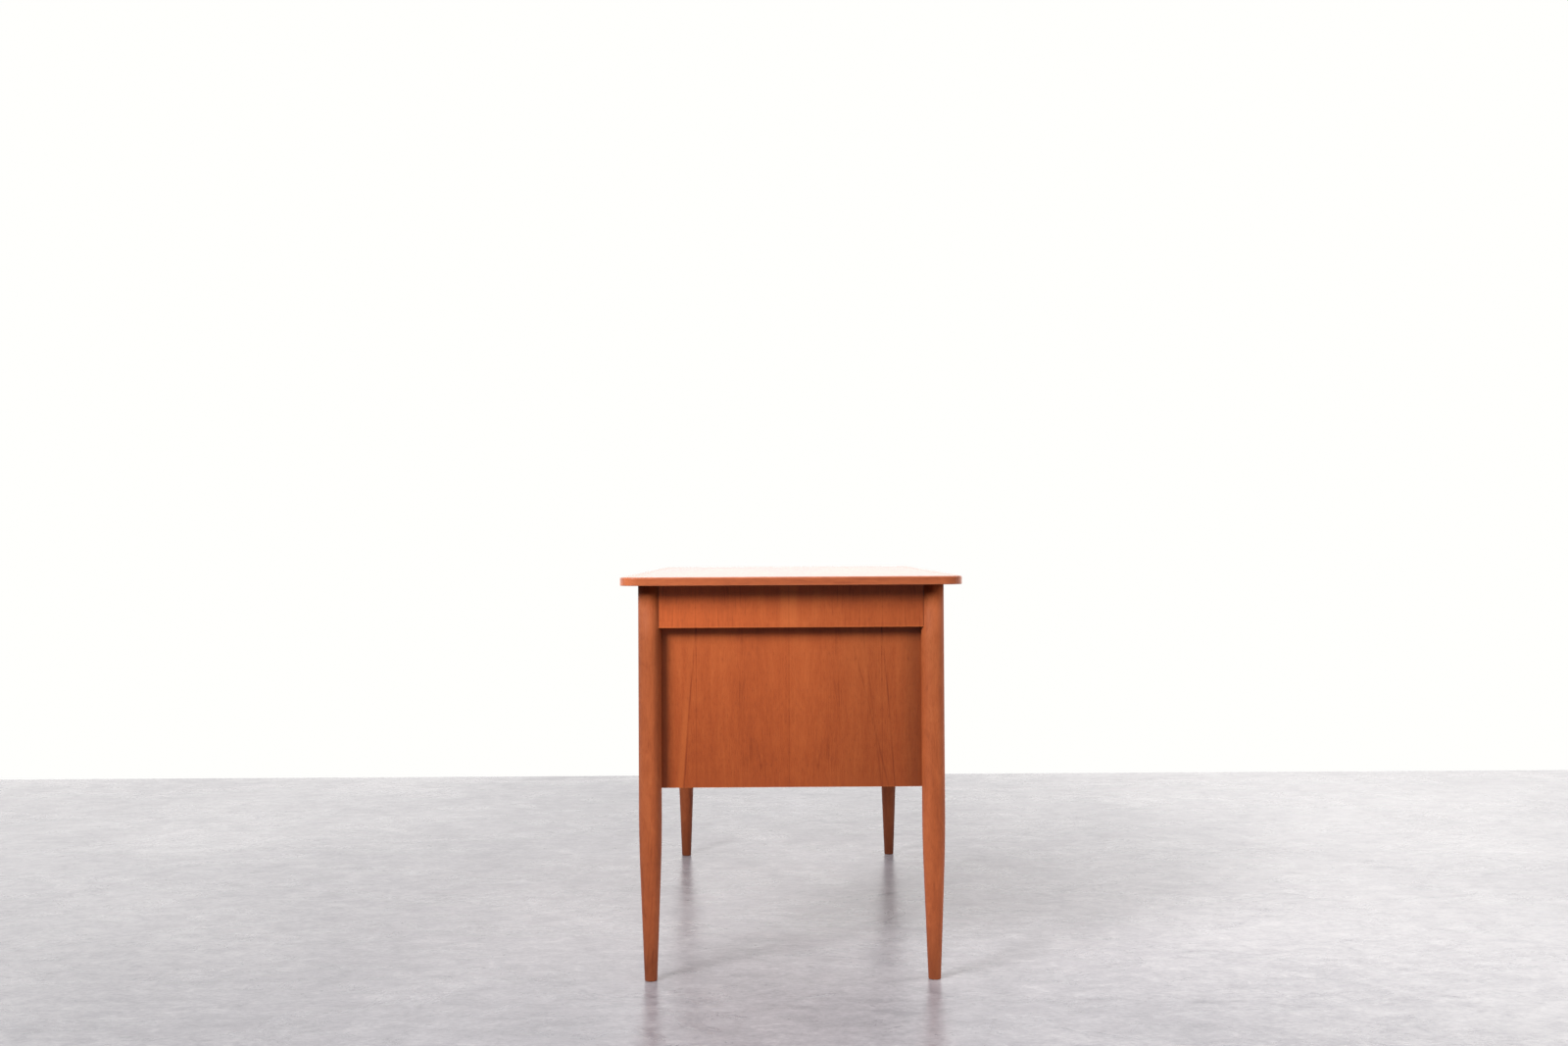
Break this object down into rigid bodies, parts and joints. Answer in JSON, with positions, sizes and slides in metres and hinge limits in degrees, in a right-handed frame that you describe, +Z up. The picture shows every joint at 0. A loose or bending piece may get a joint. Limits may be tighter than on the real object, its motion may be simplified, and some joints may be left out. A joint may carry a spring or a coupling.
{
  "type": "writing desk with drawers",
  "caption": "Writing desk with a thin round-cornered top, turned tapered legs and two hanging drawer cases with sliding drawers.",
  "frame": {"origin": "on the floor at the centre of the desk", "axes": "+X along the length, -Y is the side the drawers open towards, +Z up"},
  "size_m": [1.2, 0.61, 0.72],
  "materials": {
    "teak_veneer": "oiled teak veneer, satin",
    "teak_solid": "oiled solid teak, satin",
    "beech": "planed beech, waxed",
    "plywood": "birch plywood, sanded",
    "steel": "zinc plated, dull"
  },
  "bodies": {
    "desk_frame": {"desktop": "teak_veneer", "lipping_front": "teak_solid", "lipping_back": "teak_solid", "lipping_left": "teak_solid", "lipping_right": "teak_solid", "leg_front_left": "teak_solid", "leg_front_right": "teak_solid", "leg_back_left": "teak_solid", "leg_back_right": "teak_solid", "apron_front": "teak_veneer", "apron_back": "teak_veneer", "apron_left": "teak_veneer", "apron_right": "teak_veneer", "batten_front": "beech", "batten_back": "beech", "top_screws": "steel", "case_screws": "steel", "left_case_outer_side": "teak_veneer", "left_case_inner_side": "teak_veneer", "left_case_top": "teak_veneer", "left_case_bottom": "teak_veneer", "left_case_back": "teak_veneer", "right_case_outer_side": "teak_veneer", "right_case_inner_side": "teak_veneer", "right_case_top": "teak_veneer", "right_case_bottom": "teak_veneer", "right_case_back": "teak_veneer", "left_lower_runners": "beech", "left_upper_runners": "beech", "right_lower_runners": "beech", "right_upper_runners": "beech"},
    "left_lower_drawer": {"left_lower_drawer_front": "teak_veneer", "left_lower_drawer_left_side": "beech", "left_lower_drawer_right_side": "beech", "left_lower_drawer_back": "beech", "left_lower_drawer_bottom": "plywood", "left_lower_drawer_knob": "teak_solid", "left_lower_drawer_knob_screw": "steel"},
    "left_upper_drawer": {"left_upper_drawer_front": "teak_veneer", "left_upper_drawer_left_side": "beech", "left_upper_drawer_right_side": "beech", "left_upper_drawer_back": "beech", "left_upper_drawer_bottom": "plywood", "left_upper_drawer_knob": "teak_solid", "left_upper_drawer_knob_screw": "steel"},
    "right_lower_drawer": {"right_lower_drawer_front": "teak_veneer", "right_lower_drawer_left_side": "beech", "right_lower_drawer_right_side": "beech", "right_lower_drawer_back": "beech", "right_lower_drawer_bottom": "plywood", "right_lower_drawer_knob": "teak_solid", "right_lower_drawer_knob_screw": "steel"},
    "right_upper_drawer": {"right_upper_drawer_front": "teak_veneer", "right_upper_drawer_left_side": "beech", "right_upper_drawer_right_side": "beech", "right_upper_drawer_back": "beech", "right_upper_drawer_bottom": "plywood", "right_upper_drawer_knob": "teak_solid", "right_upper_drawer_knob_screw": "steel"}
  },
  "joints": [
    {"name": "left_lower_drawer_slide", "type": "slide", "parent": "desk_frame", "child": "left_lower_drawer", "axis": [0, -1, 0], "range_m": [0, 0.32]},
    {"name": "left_upper_drawer_slide", "type": "slide", "parent": "desk_frame", "child": "left_upper_drawer", "axis": [0, -1, 0], "range_m": [0, 0.32]},
    {"name": "right_lower_drawer_slide", "type": "slide", "parent": "desk_frame", "child": "right_lower_drawer", "axis": [0, -1, 0], "range_m": [0, 0.32]},
    {"name": "right_upper_drawer_slide", "type": "slide", "parent": "desk_frame", "child": "right_upper_drawer", "axis": [0, -1, 0], "range_m": [0, 0.32]}
  ]
}
